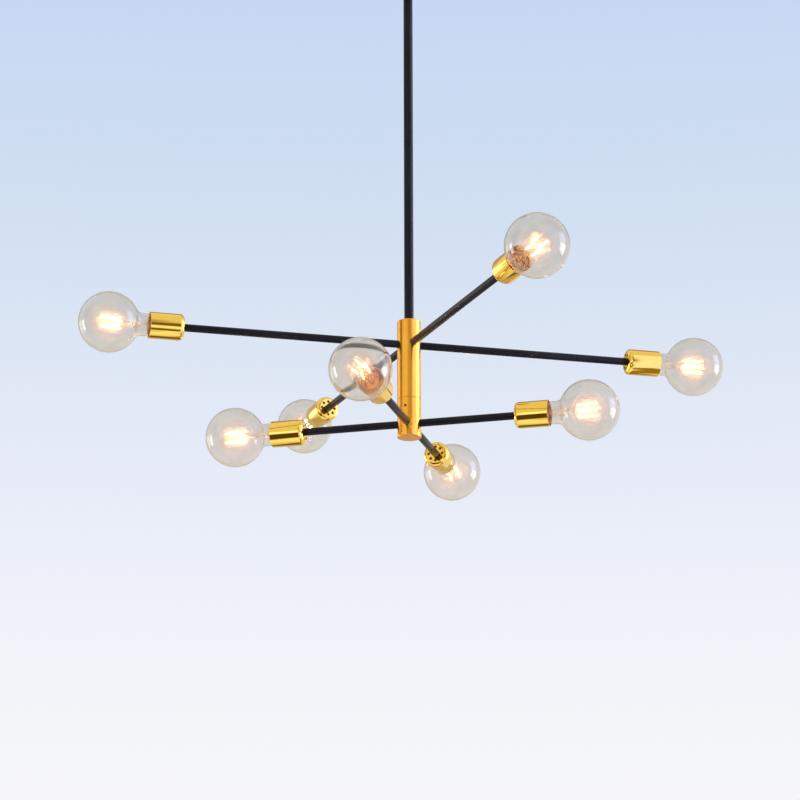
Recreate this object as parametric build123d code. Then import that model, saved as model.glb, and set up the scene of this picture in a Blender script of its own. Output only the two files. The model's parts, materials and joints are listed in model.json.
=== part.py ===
from build123d import *
import math
import os

# A ceiling chandelier with two tiers of four level arms, each ending in a lamp cup and a globe bulb.
# Sizes are in millimetres and angles in degrees. The origin is on the ceiling, on the axis of the
# down rod, and +Z is up. Azimuths run anticlockwise from +X, seen from above.

# Ceiling bracket
BRACKET_WIDTH = 20
BRACKET_THICKNESS = 2.5
CEILING_SPACE = 4
BRACKET_MIDDLE_LENGTH = 40
BRACKET_EAR_HEIGHT = 17
CEILING_SLOT_SPACING = 76
CEILING_SLOT_WIDTH = 5
CEILING_SLOT_LENGTH = 12

# Canopy and its side screws
CANOPY_DIAMETER = 120
CANOPY_NUT_SPACE = 3.3
CANOPY_WALL = 1.2
CANOPY_EDGE_RADIUS = 6
CANOPY_SCREW_DEPTH = 10
CANOPY_SCREW_DIAMETER = 4
CANOPY_SCREW_LENGTH = 8
CANOPY_SCREW_HEAD_DIAMETER = 7.5
CANOPY_SCREW_HEAD_HEIGHT = 2.6

# Down rod, in two sections joined by hollow threaded nipples
ROD_DIAMETER = 15
ROD_WALL = 2.45
ROD_SECTION_LENGTH = 300
NIPPLE_WALL = 2
NIPPLE_ENGAGEMENT = 18
NIPPLE_TOP_OVERHANG = 2
NIPPLE_NUT_WALL = 2
NIPPLE_NUT_THICKNESS = 5

# Hub
HUB_DIAMETER = 38
HUB_WALL = 2
HUB_END_WALL = 3
HUB_EDGE_RADIUS = 1.5
HUB_UPPER_LENGTH = 130
UPPER_ARM_BELOW_HUB_TOP = 39
LOWER_ARM_BELOW_SEAM = 40
HUB_BOTTOM_BELOW_LOWER_ARM = 23
CORE_MARGIN = 13

# Swivel between the two hub sleeves
SPIGOT_WALL = 2.7
SPIGOT_LIP = 5.1
GROOVE_DEPTH = 3
SWIVEL_SCREW_BELOW_SEAM = 14.5
SWIVEL_SCREW_DIAMETER = 4
SWIVEL_SCREW_SINK = 0.6
SWIVEL_SCREW_KEY = 2
SWIVEL_SCREW_COUNT = 3
SWIVEL_SCREW_AZIMUTH = 251
SEAM_GAP = 0.3

# Arms
ARM_DIAMETER = 12
ARM_SHOULDER = 2
ARM_THREAD_WALL = 1
ARM_THREAD_LENGTH = 7
ARM_SPOT_FACE_DEPTH = 2.5
UPPER_ARM_REACH = 343
LOWER_ARM_REACH = 152
UPPER_FIRST_AZIMUTH = 14.1
UPPER_PAIR_ANGLE = 98.4
LOWER_FIRST_AZIMUTH = 75.6
LOWER_PAIR_ANGLE = 90

# Lamp cup
CUP_LENGTH = 54
CUP_WALL = 1.2
CUP_SPACE = 2.05
CUP_EDGE_RADIUS = 7
VENT_DIAMETER = 4.8
VENT_CIRCLE = 22.5
VENT_COUNT = 8
CUP_NUT_WALL = 2.5
CUP_NUT_THICKNESS = 4

# Lampholder
HOLDER_WALL = 3.2
HOLDER_ENTRY_DEPTH = 8
HOLDER_FRONT_SETBACK = 7
SHELL_WALL = 0.7
SHELL_FOOT = 4
CONTACT_HEIGHT = 2.6
CONTACT_THICKNESS = 0.8
CONTACT_WIDTH = 6
CONTACT_OVERHANG = 4
CONTACT_HEEL = 5

# Bulb, measured from the centre of its globe
GLOBE_DIAMETER = 95
GLOBE_BEYOND_CUP = 62.5
GLASS_WALL = 1
NECK_GAP = 1.55
NECK_BLEND_RADIUS = 11
NECK_STRAIGHT = 6
NECK_SHOULDER = 10
TAIL_LENGTH = 6
CAP_DIAMETER = 26.2
CAP_RIDGE_DEPTH = 0.9
CAP_RIDGE_PITCH = 3.6
CAP_RIDGE_COUNT = 5
CAP_WALL = 0.6
CAP_LIP = 3
CAP_INSULATOR_HEIGHT = 4.5
CAP_BUTTON_DIAMETER = 10
CAP_BUTTON_HEIGHT = 2

# Stem and light filaments inside the bulb
STEM_DIAMETER = 8
STEM_FACE = 36
STEM_FLARE_LENGTH = 9
POST_DIAMETER = 3
FILAMENT_COUNT = 4
FILAMENT_DIAMETER = 2.4
FILAMENT_BASE = 18.5
FILAMENT_BASE_RADIUS = 9
FILAMENT_TIP = -13.5
FILAMENT_TIP_RADIUS = 10.5
FILAMENT_TWIST = 25
WIRE_DIAMETER = 0.9
WIRE_RISE = 3

# Leads inside the tubes
LEAD_GAP = 0.7
LEAD_TAIL = 6

# Clearances
THREAD_GAP = 0.05
SLEEVE_GAP = 0.15
BRAZE_GAP = 0.05
SWIVEL_GAP = 0.3
GROOVE_GAP = 0.4
PASS_GAP = 0.1
SCREW_PASS_GAP = 0.2
CAP_GAP = 0.4
CEMENT_GAP = 0.3
WELD_GAP = 0.2
BRACKET_GAP = 0.5
CUT_PAST = 1

# Threaded pieces and the holes that they screw into or pass through
NIPPLE_DIAMETER = ROD_DIAMETER - 2 * ROD_WALL - 2 * THREAD_GAP
NIPPLE_BORE = NIPPLE_DIAMETER - 2 * NIPPLE_WALL
NIPPLE_TAPPED = NIPPLE_DIAMETER + 2 * THREAD_GAP
NIPPLE_PASS = NIPPLE_DIAMETER + 2 * PASS_GAP
ARM_THREAD_DIAMETER = ARM_DIAMETER - 2 * ARM_SHOULDER
ARM_TAPPED = ARM_THREAD_DIAMETER + 2 * THREAD_GAP
ARM_PASS = ARM_DIAMETER + 2 * PASS_GAP
ARM_BORE = ARM_THREAD_DIAMETER - 2 * ARM_THREAD_WALL
CANOPY_SCREW_TAPPED = CANOPY_SCREW_DIAMETER + 2 * THREAD_GAP
CANOPY_SCREW_PASS = CANOPY_SCREW_DIAMETER + 2 * SCREW_PASS_GAP
SWIVEL_SCREW_TAPPED = SWIVEL_SCREW_DIAMETER + 2 * THREAD_GAP
GROOVE_WIDTH = SWIVEL_SCREW_DIAMETER + 2 * GROOVE_GAP

# Levels
NIPPLE_TOP = -CEILING_SPACE
BRACKET_TOP = NIPPLE_TOP - NIPPLE_TOP_OVERHANG - NIPPLE_NUT_THICKNESS
BRACKET_UNDERSIDE = BRACKET_TOP - BRACKET_THICKNESS
CANOPY_FLOOR = BRACKET_UNDERSIDE - 2 * NIPPLE_NUT_THICKNESS - CANOPY_NUT_SPACE
CANOPY_BOTTOM = CANOPY_FLOOR - CANOPY_WALL
ROD_JOINT = CANOPY_BOTTOM - ROD_SECTION_LENGTH
HUB_TOP = ROD_JOINT - ROD_SECTION_LENGTH
UPPER_ARM_LEVEL = HUB_TOP - UPPER_ARM_BELOW_HUB_TOP
SEAM_LEVEL = HUB_TOP - HUB_UPPER_LENGTH
LOWER_ARM_LEVEL = SEAM_LEVEL - LOWER_ARM_BELOW_SEAM
HUB_BOTTOM = LOWER_ARM_LEVEL - HUB_BOTTOM_BELOW_LOWER_ARM
SWIVEL_SCREW_LEVEL = SEAM_LEVEL - SWIVEL_SCREW_BELOW_SEAM
CORE_TOP = HUB_TOP - HUB_END_WALL
UPPER_CORE_BOTTOM = UPPER_ARM_LEVEL - CORE_MARGIN
LOWER_CORE_BOTTOM = HUB_BOTTOM + HUB_END_WALL
LOWER_CORE_TOP = LOWER_ARM_LEVEL + CORE_MARGIN
SPIGOT_LENGTH = SWIVEL_SCREW_BELOW_SEAM + GROOVE_WIDTH / 2 + SPIGOT_LIP
SPIGOT_BOTTOM = SEAM_LEVEL - SPIGOT_LENGTH
SPIGOT_TOP = SEAM_LEVEL + SPIGOT_LENGTH

# Radii from the rod's axis
CANOPY_INNER_RADIUS = CANOPY_DIAMETER / 2 - CANOPY_WALL
BRACKET_HALF_LENGTH = math.sqrt((CANOPY_INNER_RADIUS - BRACKET_GAP) ** 2 - (BRACKET_WIDTH / 2) ** 2)
HUB_RADIUS = HUB_DIAMETER / 2
HUB_INNER_RADIUS = HUB_RADIUS - HUB_WALL
CORE_RADIUS = HUB_INNER_RADIUS - SLEEVE_GAP
SPIGOT_RADIUS = HUB_INNER_RADIUS - SWIVEL_GAP
GROOVE_RADIUS = SPIGOT_RADIUS - GROOVE_DEPTH
ARM_SEAT = CORE_RADIUS - ARM_SPOT_FACE_DEPTH
ARM_ROOT = ARM_SEAT - ARM_THREAD_LENGTH

# Radii round a lamp's axis, from the bulb's cap outwards
CAP_RADIUS = CAP_DIAMETER / 2
CAP_ROOT_RADIUS = CAP_RADIUS - CAP_RIDGE_DEPTH
CAP_BORE_RADIUS = CAP_ROOT_RADIUS - CAP_WALL
TAIL_RADIUS = CAP_BORE_RADIUS - CEMENT_GAP
SHELL_RADIUS = CAP_RADIUS + CAP_GAP
SHELL_OUTER_RADIUS = SHELL_RADIUS + SHELL_WALL
HOLDER_INNER_RADIUS = SHELL_OUTER_RADIUS + PASS_GAP
HOLDER_RADIUS = HOLDER_INNER_RADIUS + HOLDER_WALL
CUP_INNER_RADIUS = HOLDER_RADIUS + CUP_SPACE
CUP_RADIUS = CUP_INNER_RADIUS + CUP_WALL
NECK_RADIUS = CUP_INNER_RADIUS - NECK_GAP
GLOBE_RADIUS = GLOBE_DIAMETER / 2

# Places along a lamp, from the back of its cup outwards
CUP_NUT_FRONT = CUP_WALL + CUP_NUT_THICKNESS
ARM_TIP = CUP_NUT_FRONT + HOLDER_ENTRY_DEPTH
GLOBE_CENTRE = CUP_LENGTH + GLOBE_BEYOND_CUP
HOLDER_FRONT = CUP_LENGTH - HOLDER_FRONT_SETBACK

# Places along a bulb, from the centre of its globe towards the cap
BLEND_CENTRE_RADIUS = NECK_RADIUS + NECK_BLEND_RADIUS
NECK_START = math.sqrt((GLOBE_RADIUS + NECK_BLEND_RADIUS) ** 2 - BLEND_CENTRE_RADIUS**2)
SHOULDER_START = NECK_START + NECK_STRAIGHT
CAP_START = SHOULDER_START + NECK_SHOULDER
CAP_END = CAP_START + CAP_RIDGE_COUNT * CAP_RIDGE_PITCH
BUTTON_START = CAP_END + CAP_INSULATOR_HEIGHT
BUTTON_END = BUTTON_START + CAP_BUTTON_HEIGHT
TAIL_END = CAP_START + TAIL_LENGTH
HOLDER_FLOOR = GLOBE_CENTRE - BUTTON_END - WELD_GAP - CONTACT_HEIGHT

# Azimuths
UPPER_AZIMUTHS = [UPPER_FIRST_AZIMUTH + turn for turn in (0, UPPER_PAIR_ANGLE, 180, 180 + UPPER_PAIR_ANGLE)]
LOWER_AZIMUTHS = [LOWER_FIRST_AZIMUTH + turn for turn in (0, LOWER_PAIR_ANGLE, 180, 180 + LOWER_PAIR_ANGLE)]
SWIVEL_SCREW_STEP = 360 / SWIVEL_SCREW_COUNT
SWIVEL_SCREW_AZIMUTHS = [SWIVEL_SCREW_AZIMUTH + i * SWIVEL_SCREW_STEP for i in range(SWIVEL_SCREW_COUNT)]

ON_BASE = (Align.CENTER, Align.CENTER, Align.MIN)


def column(diameter, bottom, top):
    """A round bar standing on the rod's axis."""
    return Pos(0, 0, bottom) * Cylinder(diameter / 2, top - bottom, align=ON_BASE)


def spoke(diameter, start, end):
    """A round bar along +X."""
    return Pos(start, 0, 0) * Rot(0, 90, 0) * Cylinder(diameter / 2, end - start, align=ON_BASE)


def turned(*edges):
    """The solid that a closed outline in the XY plane makes when it turns about X."""
    return revolve(make_face(edges), Axis.X)


def aim(azimuth, level):
    """The place of something that points along +X, at an azimuth and a level of the hub."""
    return Pos(0, 0, level) * Rot(0, 0, azimuth)


def hex_nut(bore, wall, thickness):
    """A nut standing on the XY plane, with a wall between its bore and its flats."""
    outline = RegularPolygon(bore / 2 + wall, 6, major_radius=False) - Circle(bore / 2)
    return extrude(outline, thickness)


def nipple_nut(bottom):
    return Pos(0, 0, bottom) * hex_nut(NIPPLE_TAPPED, NIPPLE_NUT_WALL, NIPPLE_NUT_THICKNESS)


def save(name, *solids):
    """Write one node, which is a single solid or a group of like solids."""
    shape = solids[0] if len(solids) == 1 else Compound(children=list(solids))
    export_step(shape, f"parts/{name}.step")


# Ceiling mount


def ceiling_bracket():
    """A steel strap with its feet on the ceiling, a dropped middle and two ears turned down."""
    middle = BRACKET_MIDDLE_LENGTH / 2
    inner_ear = BRACKET_HALF_LENGTH - BRACKET_THICKNESS
    half_outline = Polyline(
        (0, BRACKET_TOP),
        (middle - BRACKET_THICKNESS, BRACKET_TOP),
        (middle - BRACKET_THICKNESS, 0),
        (BRACKET_HALF_LENGTH, 0),
        (BRACKET_HALF_LENGTH, -BRACKET_EAR_HEIGHT),
        (inner_ear, -BRACKET_EAR_HEIGHT),
        (inner_ear, -BRACKET_THICKNESS),
        (middle, -BRACKET_THICKNESS),
        (middle, BRACKET_UNDERSIDE),
        (0, BRACKET_UNDERSIDE),
        close=True,
    )
    half = extrude(Plane.XZ * make_face(half_outline), BRACKET_WIDTH / 2, both=True)
    strap = half + mirror(half, Plane.YZ)
    strap -= column(NIPPLE_PASS, BRACKET_UNDERSIDE - CUT_PAST, BRACKET_TOP + CUT_PAST)
    slot_outline = SlotOverall(CEILING_SLOT_LENGTH, CEILING_SLOT_WIDTH)
    slot = extrude(slot_outline, BRACKET_THICKNESS + CUT_PAST, both=True)
    for side in (-1, 1):
        strap -= Pos(side * CEILING_SLOT_SPACING / 2, 0, 0) * slot
    for azimuth in (0, 180):
        tapped = spoke(CANOPY_SCREW_TAPPED, inner_ear - CUT_PAST, BRACKET_HALF_LENGTH + CUT_PAST)
        strap -= aim(azimuth, -CANOPY_SCREW_DEPTH) * tapped
    return strap


def canopy():
    """The round cover against the ceiling, open at the top."""
    outer = column(CANOPY_DIAMETER, CANOPY_BOTTOM, 0)
    outer = fillet(outer.edges().group_by(Axis.Z)[0], CANOPY_EDGE_RADIUS)
    inner = column(2 * CANOPY_INNER_RADIUS, CANOPY_FLOOR, CUT_PAST)
    inner = fillet(inner.edges().group_by(Axis.Z)[0], max(CANOPY_EDGE_RADIUS - CANOPY_WALL, CANOPY_WALL))
    shell = outer - inner
    shell -= column(NIPPLE_PASS, CANOPY_BOTTOM - CUT_PAST, CANOPY_FLOOR + CUT_PAST)
    for azimuth in (0, 180):
        hole = spoke(CANOPY_SCREW_PASS, CANOPY_INNER_RADIUS - CUT_PAST, CANOPY_DIAMETER / 2 + CUT_PAST)
        shell -= aim(azimuth, -CANOPY_SCREW_DEPTH) * hole
    return shell


def canopy_screws():
    head_start = CANOPY_DIAMETER / 2 + PASS_GAP
    screw = spoke(CANOPY_SCREW_DIAMETER, head_start - CANOPY_SCREW_LENGTH, head_start)
    screw += spoke(CANOPY_SCREW_HEAD_DIAMETER, head_start, head_start + CANOPY_SCREW_HEAD_HEIGHT)
    return [aim(azimuth, -CANOPY_SCREW_DEPTH) * screw for azimuth in (0, 180)]


# Down rod


def rod_section(top):
    bottom = top - ROD_SECTION_LENGTH
    return column(ROD_DIAMETER, bottom, top) - column(NIPPLE_TAPPED, bottom - CUT_PAST, top + CUT_PAST)


def nipple(bottom, top):
    return column(NIPPLE_DIAMETER, bottom, top) - column(NIPPLE_BORE, bottom - CUT_PAST, top + CUT_PAST)


def rod_nipples():
    """The threaded tubes at the canopy, at the joint of the rod and at the hub."""
    return [
        nipple(CANOPY_BOTTOM - NIPPLE_ENGAGEMENT, NIPPLE_TOP),
        nipple(ROD_JOINT - NIPPLE_ENGAGEMENT, ROD_JOINT + NIPPLE_ENGAGEMENT),
        nipple(CORE_TOP - NIPPLE_ENGAGEMENT, HUB_TOP + NIPPLE_ENGAGEMENT),
    ]


def rod_nuts():
    """Two nuts clamp the bracket on the top nipple, and a third clamps the canopy on the rod."""
    under_bracket = BRACKET_UNDERSIDE - NIPPLE_NUT_THICKNESS
    return [nipple_nut(bottom) for bottom in (BRACKET_TOP, under_bracket, CANOPY_FLOOR)]


# Hub


def arm_holes(azimuths, level):
    """The cutters for four arms through a hub sleeve."""
    hole = spoke(ARM_PASS, HUB_INNER_RADIUS - HUB_WALL, HUB_RADIUS + CUT_PAST)
    return [aim(azimuth, level) * hole for azimuth in azimuths]


def hub_upper_sleeve():
    sleeve = column(HUB_DIAMETER, SEAM_LEVEL, HUB_TOP)
    sleeve = fillet(sleeve.edges().group_by(Axis.Z)[-1], HUB_EDGE_RADIUS)
    sleeve -= column(2 * HUB_INNER_RADIUS, SEAM_LEVEL - CUT_PAST, CORE_TOP)
    sleeve -= column(NIPPLE_PASS, CORE_TOP - CUT_PAST, HUB_TOP + CUT_PAST)
    return sleeve - arm_holes(UPPER_AZIMUTHS, UPPER_ARM_LEVEL)


def hub_lower_sleeve():
    sleeve = column(HUB_DIAMETER, HUB_BOTTOM, SEAM_LEVEL - SEAM_GAP)
    sleeve = fillet(sleeve.edges().group_by(Axis.Z)[0], HUB_EDGE_RADIUS)
    sleeve -= column(2 * HUB_INNER_RADIUS, LOWER_CORE_BOTTOM, SEAM_LEVEL)
    screw_hole = spoke(SWIVEL_SCREW_TAPPED, HUB_INNER_RADIUS - HUB_WALL, HUB_RADIUS + CUT_PAST)
    sleeve -= [aim(azimuth, SWIVEL_SCREW_LEVEL) * screw_hole for azimuth in SWIVEL_SCREW_AZIMUTHS]
    return sleeve - arm_holes(LOWER_AZIMUTHS, LOWER_ARM_LEVEL)


def hub_core(bottom, top, azimuths, level):
    """A turned block inside a sleeve, with a tapped hole and a spot face for each arm."""
    core = column(2 * CORE_RADIUS, bottom, top)
    core -= column(NIPPLE_BORE, bottom - CUT_PAST, top + CUT_PAST)
    seat = spoke(ARM_PASS, ARM_SEAT, CORE_RADIUS + CUT_PAST)
    seat += spoke(ARM_TAPPED, ARM_ROOT, CORE_RADIUS)
    seat += spoke(ARM_BORE, 0, CORE_RADIUS)
    return core - [aim(azimuth, level) * seat for azimuth in azimuths]


def hub_upper_core():
    core = hub_core(UPPER_CORE_BOTTOM, CORE_TOP, UPPER_AZIMUTHS, UPPER_ARM_LEVEL)
    return core - column(NIPPLE_TAPPED, CORE_TOP - NIPPLE_ENGAGEMENT, CORE_TOP + CUT_PAST)


def hub_lower_core():
    return hub_core(LOWER_CORE_BOTTOM, LOWER_CORE_TOP, LOWER_AZIMUTHS, LOWER_ARM_LEVEL)


def swivel_spigot():
    """A ring brazed into the upper sleeve, with a groove that carries the lower tier's screws."""
    ring = column(2 * (HUB_INNER_RADIUS - BRAZE_GAP), SEAM_LEVEL, SPIGOT_TOP)
    ring += column(2 * SPIGOT_RADIUS, SPIGOT_BOTTOM, SEAM_LEVEL)
    ring -= column(2 * (GROOVE_RADIUS - SPIGOT_WALL), SPIGOT_BOTTOM - CUT_PAST, SPIGOT_TOP + CUT_PAST)
    groove_bottom = SWIVEL_SCREW_LEVEL - GROOVE_WIDTH / 2
    groove_top = SWIVEL_SCREW_LEVEL + GROOVE_WIDTH / 2
    groove = column(HUB_DIAMETER, groove_bottom, groove_top)
    groove -= column(2 * GROOVE_RADIUS, groove_bottom, groove_top)
    return ring - groove


def swivel_screws():
    """Headless screws that hold the lower sleeve in the groove of the spigot."""
    tip = GROOVE_RADIUS + SWIVEL_GAP
    end = HUB_RADIUS - SWIVEL_SCREW_SINK
    key = extrude(RegularPolygon(SWIVEL_SCREW_KEY / 2, 6, major_radius=False), -SWIVEL_SCREW_KEY)
    screw = spoke(SWIVEL_SCREW_DIAMETER, tip, end) - Pos(end, 0, 0) * Rot(0, 90, 0) * key
    return [aim(azimuth, SWIVEL_SCREW_LEVEL) * screw for azimuth in SWIVEL_SCREW_AZIMUTHS]


# Arms and cups


def arm(reach):
    """A tube with a threaded end for the hub's core and one for the cup's nut and lampholder."""
    cup_back = HUB_RADIUS + reach
    tip = cup_back + ARM_TIP
    tube = spoke(ARM_DIAMETER, ARM_SEAT, cup_back)
    tube += spoke(ARM_THREAD_DIAMETER, ARM_ROOT, tip)
    return tube - spoke(ARM_BORE, ARM_ROOT - CUT_PAST, tip + CUT_PAST)


def cup():
    """A spun cup with a rounded back edge and a ring of vent holes round the arm."""
    outer = spoke(2 * CUP_RADIUS, 0, CUP_LENGTH)
    outer = fillet(outer.edges().group_by(Axis.X)[0], CUP_EDGE_RADIUS)
    inner = spoke(2 * CUP_INNER_RADIUS, CUP_WALL, CUP_LENGTH + CUT_PAST)
    inner = fillet(inner.edges().group_by(Axis.X)[0], max(CUP_EDGE_RADIUS - CUP_WALL, CUP_WALL))
    shell = outer - inner
    shell -= spoke(ARM_THREAD_DIAMETER + 2 * PASS_GAP, -CUT_PAST, CUP_WALL + CUT_PAST)
    vent = Pos(0, VENT_CIRCLE / 2, 0) * spoke(VENT_DIAMETER, -CUT_PAST, CUP_WALL + CUT_PAST)
    return shell - [Rot(i * 360 / VENT_COUNT, 0, 0) * vent for i in range(VENT_COUNT)]


def cup_nut():
    return Pos(CUP_WALL, 0, 0) * Rot(0, 90, 0) * hex_nut(ARM_TAPPED, CUP_NUT_WALL, CUP_NUT_THICKNESS)


def lampholder():
    """The insulating body: a base screwed on the arm and a wall round the screw shell."""
    body = spoke(2 * HOLDER_RADIUS, CUP_NUT_FRONT, HOLDER_FRONT)
    body -= spoke(2 * HOLDER_INNER_RADIUS, HOLDER_FLOOR, HOLDER_FRONT + CUT_PAST)
    body -= spoke(ARM_TAPPED, CUP_NUT_FRONT - CUT_PAST, ARM_TIP)
    return body - spoke(ARM_BORE, CUP_NUT_FRONT - CUT_PAST, HOLDER_FLOOR + CUT_PAST)


def screw_shell():
    """The socket's brass shell, which stands clear of the holder's floor."""
    foot = HOLDER_FLOOR + SHELL_FOOT
    shell = spoke(2 * SHELL_OUTER_RADIUS, foot, HOLDER_FRONT - SHELL_WALL)
    return shell - spoke(2 * SHELL_RADIUS, foot - CUT_PAST, HOLDER_FRONT)


def centre_contact():
    """A bent brass strip: a heel on the holder's floor and a tongue under the bulb's button."""
    heel_inner = ARM_BORE / 2 + CUT_PAST
    heel_outer = heel_inner + CONTACT_HEEL
    tongue_bottom = CONTACT_HEIGHT - CONTACT_THICKNESS
    outline = Polyline(
        (0, heel_inner),
        (0, heel_outer),
        (CONTACT_HEIGHT, heel_outer),
        (CONTACT_HEIGHT, -CONTACT_OVERHANG),
        (tongue_bottom, -CONTACT_OVERHANG),
        (tongue_bottom, heel_outer - CONTACT_THICKNESS),
        (CONTACT_THICKNESS, heel_outer - CONTACT_THICKNESS),
        (CONTACT_THICKNESS, heel_inner),
        close=True,
    )
    return Pos(HOLDER_FLOOR, 0, 0) * extrude(make_face(outline), CONTACT_WIDTH / 2, both=True)


# Bulb, with its globe's centre at the origin and its cap towards -X


def glass_outline(inset):
    """The edges of the glass from the tip of the globe to the tail, moved inwards by an inset."""
    globe = GLOBE_RADIUS - inset
    neck = NECK_RADIUS - inset
    tail = TAIL_RADIUS - inset
    blend = NECK_BLEND_RADIUS + inset
    blend_centre = Vector(-NECK_START, neck + blend)
    meeting = blend_centre * (globe / (globe + blend))
    towards_globe = (meeting - blend_centre).normalized()
    blend_middle = blend_centre + (towards_globe + Vector(0, -1)).normalized() * blend
    shoulder = Vector(-SHOULDER_START, neck)
    tail_start = Vector(-CAP_START, tail)
    return [
        ThreePointArc((globe, 0), (0, globe), meeting),
        ThreePointArc(meeting, blend_middle, (-NECK_START, neck)),
        Line((-NECK_START, neck), shoulder),
        TangentArc(shoulder, tail_start, tangent=(-1, 0)),
        Line(tail_start, (-TAIL_END, tail)),
    ]


def bulb_envelope():
    outer = glass_outline(0)
    inner = glass_outline(GLASS_WALL)
    tip = Line(outer[0] @ 0, inner[0] @ 0)
    end = Line(outer[-1] @ 1, inner[-1] @ 1)
    return turned(*outer, *inner, tip, end)


def bulb_stem():
    """The glass stem: a flare in the tail, a tube and a thin post through the filaments."""
    flare = TAIL_RADIUS - GLASS_WALL - PASS_GAP
    stem = STEM_DIAMETER / 2
    post = POST_DIAMETER / 2
    tube_start = -TAIL_END + STEM_FLARE_LENGTH
    return turned(
        Polyline(
            (tube_start, stem),
            (-STEM_FACE, stem),
            (-STEM_FACE, post),
            (-FILAMENT_TIP + WIRE_RISE, post),
            (-FILAMENT_TIP + WIRE_RISE, 0),
            (-TAIL_END, 0),
            (-TAIL_END, flare),
        ),
        TangentArc((tube_start, stem), (-TAIL_END, flare), tangent=(-1, 0)),
    )


def cap_shell():
    """The bulb's screw cap, whose thread is a row of round ridges."""
    lip = CAP_BORE_RADIUS - CAP_LIP
    ridges = []
    for i in range(CAP_RIDGE_COUNT):
        start = -CAP_START - i * CAP_RIDGE_PITCH
        top = (start - CAP_RIDGE_PITCH / 2, CAP_RADIUS)
        end = (start - CAP_RIDGE_PITCH, CAP_ROOT_RADIUS)
        ridges.append(ThreePointArc((start, CAP_ROOT_RADIUS), top, end))
    inside = Polyline(
        (-CAP_END, CAP_ROOT_RADIUS),
        (-CAP_END, lip),
        (-CAP_END + CAP_WALL, lip),
        (-CAP_END + CAP_WALL, CAP_BORE_RADIUS),
        (-CAP_START, CAP_BORE_RADIUS),
        (-CAP_START, CAP_ROOT_RADIUS),
    )
    return turned(*ridges, inside)


def cap_contact():
    """The insulator at the end of the cap, with the contact button."""
    button = CAP_BUTTON_DIAMETER / 2
    outline = Polyline(
        (-CAP_END, 0),
        (-CAP_END, CAP_ROOT_RADIUS),
        (-BUTTON_START, button),
        (-BUTTON_END, button),
        (-BUTTON_END, 0),
        close=True,
    )
    return turned(outline)


def bar_between(start, end, diameter):
    """A round bar from one point to another, with a ball on its end."""
    span = end - start
    bar = Plane(origin=start, z_dir=span) * Cylinder(diameter / 2, span.length, align=ON_BASE)
    return bar + Pos(end) * Sphere(diameter / 2)


def filament(angle):
    """One glowing bar, hung between a wire from the stem and a wire to the post."""
    wire = WIRE_DIAMETER / 2

    def place(along, radius, turn):
        return Vector(-along, radius * math.cos(math.radians(turn)), radius * math.sin(math.radians(turn)))

    post_radius = POST_DIAMETER / 2 + wire + WELD_GAP
    tip_turn = angle + FILAMENT_TWIST
    foot = place(STEM_FACE - WELD_GAP - wire, post_radius, angle)
    base = place(FILAMENT_BASE, FILAMENT_BASE_RADIUS, angle)
    tip = place(FILAMENT_TIP, FILAMENT_TIP_RADIUS, tip_turn)
    head = place(FILAMENT_TIP - WIRE_RISE / 2, post_radius, tip_turn)
    bar = bar_between(base, tip, FILAMENT_DIAMETER)
    return bar_between(base, foot, WIRE_DIAMETER) + bar + bar_between(tip, head, WIRE_DIAMETER)


def filaments():
    return [filament(i * 360 / FILAMENT_COUNT) for i in range(FILAMENT_COUNT)]


# Leads


def supply_leads():
    """The lead down the rod, and a lead out through each upper arm to its lampholder."""
    down = column(NIPPLE_BORE - 2 * LEAD_GAP, UPPER_CORE_BOTTOM - LEAD_TAIL, NIPPLE_TOP)
    end = HUB_RADIUS + UPPER_ARM_REACH + HOLDER_FLOOR - WELD_GAP
    out = spoke(ARM_BORE - 2 * LEAD_GAP, ARM_BORE / 2 + LEAD_GAP, end)
    return [down] + [aim(azimuth, UPPER_ARM_LEVEL) * out for azimuth in UPPER_AZIMUTHS]


def save_tier(tier, reach, azimuths, level):
    """Write the arms, cups, lampholders and bulbs of one tier."""
    arm_shape = arm(reach)
    cup_shape = cup()
    glass = [bulb_envelope(), bulb_stem()]
    cap = [cap_shell(), cap_contact()]
    glow = filaments()
    lamps = [aim(azimuth, level) * Pos(HUB_RADIUS + reach, 0, 0) for azimuth in azimuths]
    bulbs = [lamp * Pos(GLOBE_CENTRE, 0, 0) for lamp in lamps]
    for i in range(len(azimuths)):
        number = i + 1
        save(f"{tier}_arm_{number}", aim(azimuths[i], level) * arm_shape)
        save(f"{tier}_cup_{number}", lamps[i] * cup_shape)
        save(f"{tier}_bulb_glass_{number}", *[bulbs[i] * piece for piece in glass])
        save(f"{tier}_bulb_cap_{number}", *[bulbs[i] * piece for piece in cap])
        save(f"{tier}_bulb_filaments_{number}", *[bulbs[i] * piece for piece in glow])
    contacts = [screw_shell(), centre_contact()]
    save(f"{tier}_cup_nuts", *[lamp * cup_nut() for lamp in lamps])
    save(f"{tier}_lampholders", *[lamp * lampholder() for lamp in lamps])
    save(f"{tier}_socket_contacts", *[lamp * piece for lamp in lamps for piece in contacts])


def main():
    os.makedirs("parts", exist_ok=True)
    save("ceiling_bracket", ceiling_bracket())
    save("canopy", canopy())
    save("canopy_screws", *canopy_screws())
    save("down_rod_upper", rod_section(CANOPY_BOTTOM))
    save("down_rod_lower", rod_section(ROD_JOINT))
    save("rod_nipples", *rod_nipples())
    save("rod_nuts", *rod_nuts())
    save("hub_upper_sleeve", hub_upper_sleeve())
    save("hub_upper_core", hub_upper_core())
    save("hub_lower_sleeve", hub_lower_sleeve())
    save("hub_lower_core", hub_lower_core())
    save("swivel_spigot", swivel_spigot())
    save("swivel_screws", *swivel_screws())
    save("supply_leads", *supply_leads())
    save_tier("upper", UPPER_ARM_REACH, UPPER_AZIMUTHS, UPPER_ARM_LEVEL)
    save_tier("lower", LOWER_ARM_REACH, LOWER_AZIMUTHS, LOWER_ARM_LEVEL)


main()
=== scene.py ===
import json
import math
from collections import namedtuple

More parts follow.
